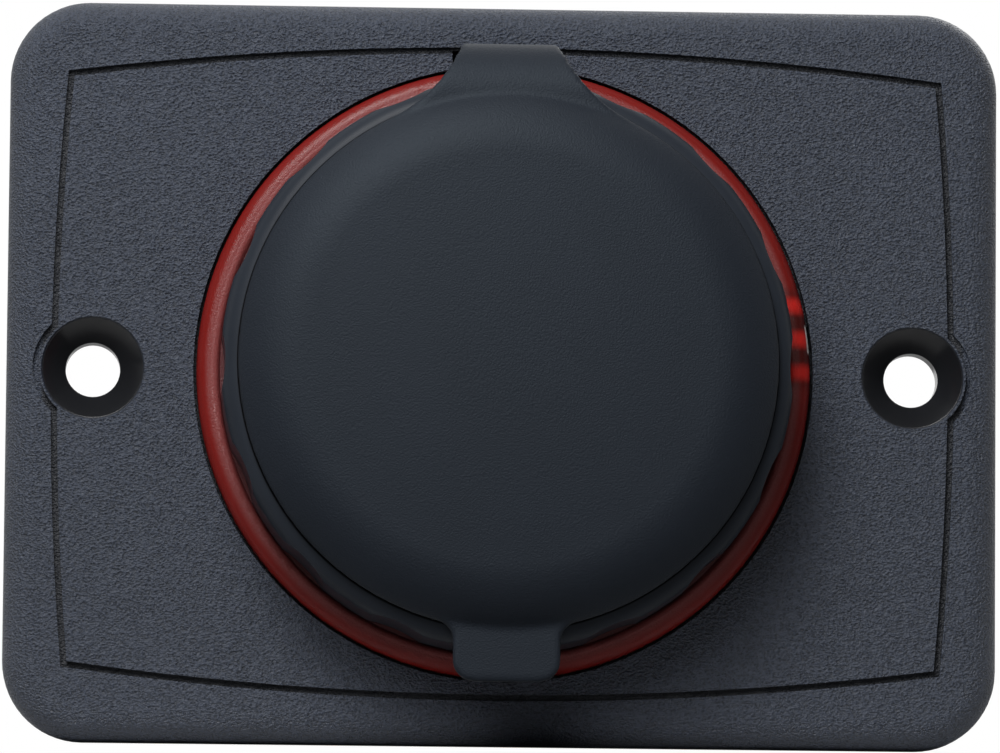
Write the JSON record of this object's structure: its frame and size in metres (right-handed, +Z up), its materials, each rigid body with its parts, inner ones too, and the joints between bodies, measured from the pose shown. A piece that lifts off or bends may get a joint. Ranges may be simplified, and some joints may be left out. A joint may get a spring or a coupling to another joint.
{
  "type": "usb charging socket",
  "caption": "Panel-mounted charging socket on a rectangular screw plate, with a red light ring round a fluted bezel and a hinged rubber cap over its ports.",
  "frame": {"origin": "on the socket's axis, in the plane of the mounting plate's back face, midway between the screw holes", "axes": "+Y along the socket's axis to the back, so the cap faces -Y; +Z up towards the cap's strap; +X to the right as seen from the front"},
  "size_m": [0.062, 0.0554, 0.0464],
  "materials": {
    "plate_plastic": "fine spark-eroded grain, satin",
    "bezel_plastic": "polished moulded plastic",
    "ring_plastic": "see-through red, frosted",
    "cap_rubber": "matte moulded rubber",
    "face_plastic": "fine matte",
    "port_steel": "bright folded sheet",
    "tongue_plastic": "smooth moulded",
    "contact_metal": "plated, smooth",
    "board_laminate": "coated laminate",
    "part_black": "moulded, matte",
    "can_metal": "bright can",
    "lamp_lens": "clear lens",
    "nut_plastic": "moulded, satin",
    "terminal_metal": "bright stamped sheet"
  },
  "bodies": {
    "base": {"mounting_plate": "plate_plastic", "light_ring": "ring_plastic", "socket_housing": "bezel_plastic", "lamp_board": "board_laminate", "ring_lamps": "lamp_lens", "clamp_nut": "nut_plastic", "cap_strap": "cap_rubber", "port_face": "face_plastic", "upper_port_shell": "port_steel", "upper_port_tongue": "tongue_plastic", "upper_port_contacts": "contact_metal", "lower_port_shell": "port_steel", "lower_port_tongue": "tongue_plastic", "lower_port_contacts": "contact_metal", "circuit_board": "board_laminate", "power_coil": "part_black", "input_capacitor": "can_metal", "output_capacitor": "can_metal", "converter_chip": "part_black", "rectifier_diode": "part_black", "back_cover": "nut_plastic", "plus_terminal": "terminal_metal", "minus_terminal": "terminal_metal"},
    "cap": {"protective_cap": "cap_rubber"}
  },
  "joints": [
    {"name": "cap_hinge", "type": "hinge", "parent": "base", "child": "cap", "pos_m": [0, -0.0096, 0.01875], "axis": [-1, 0, 0], "range_deg": [0, 120]}
  ]
}
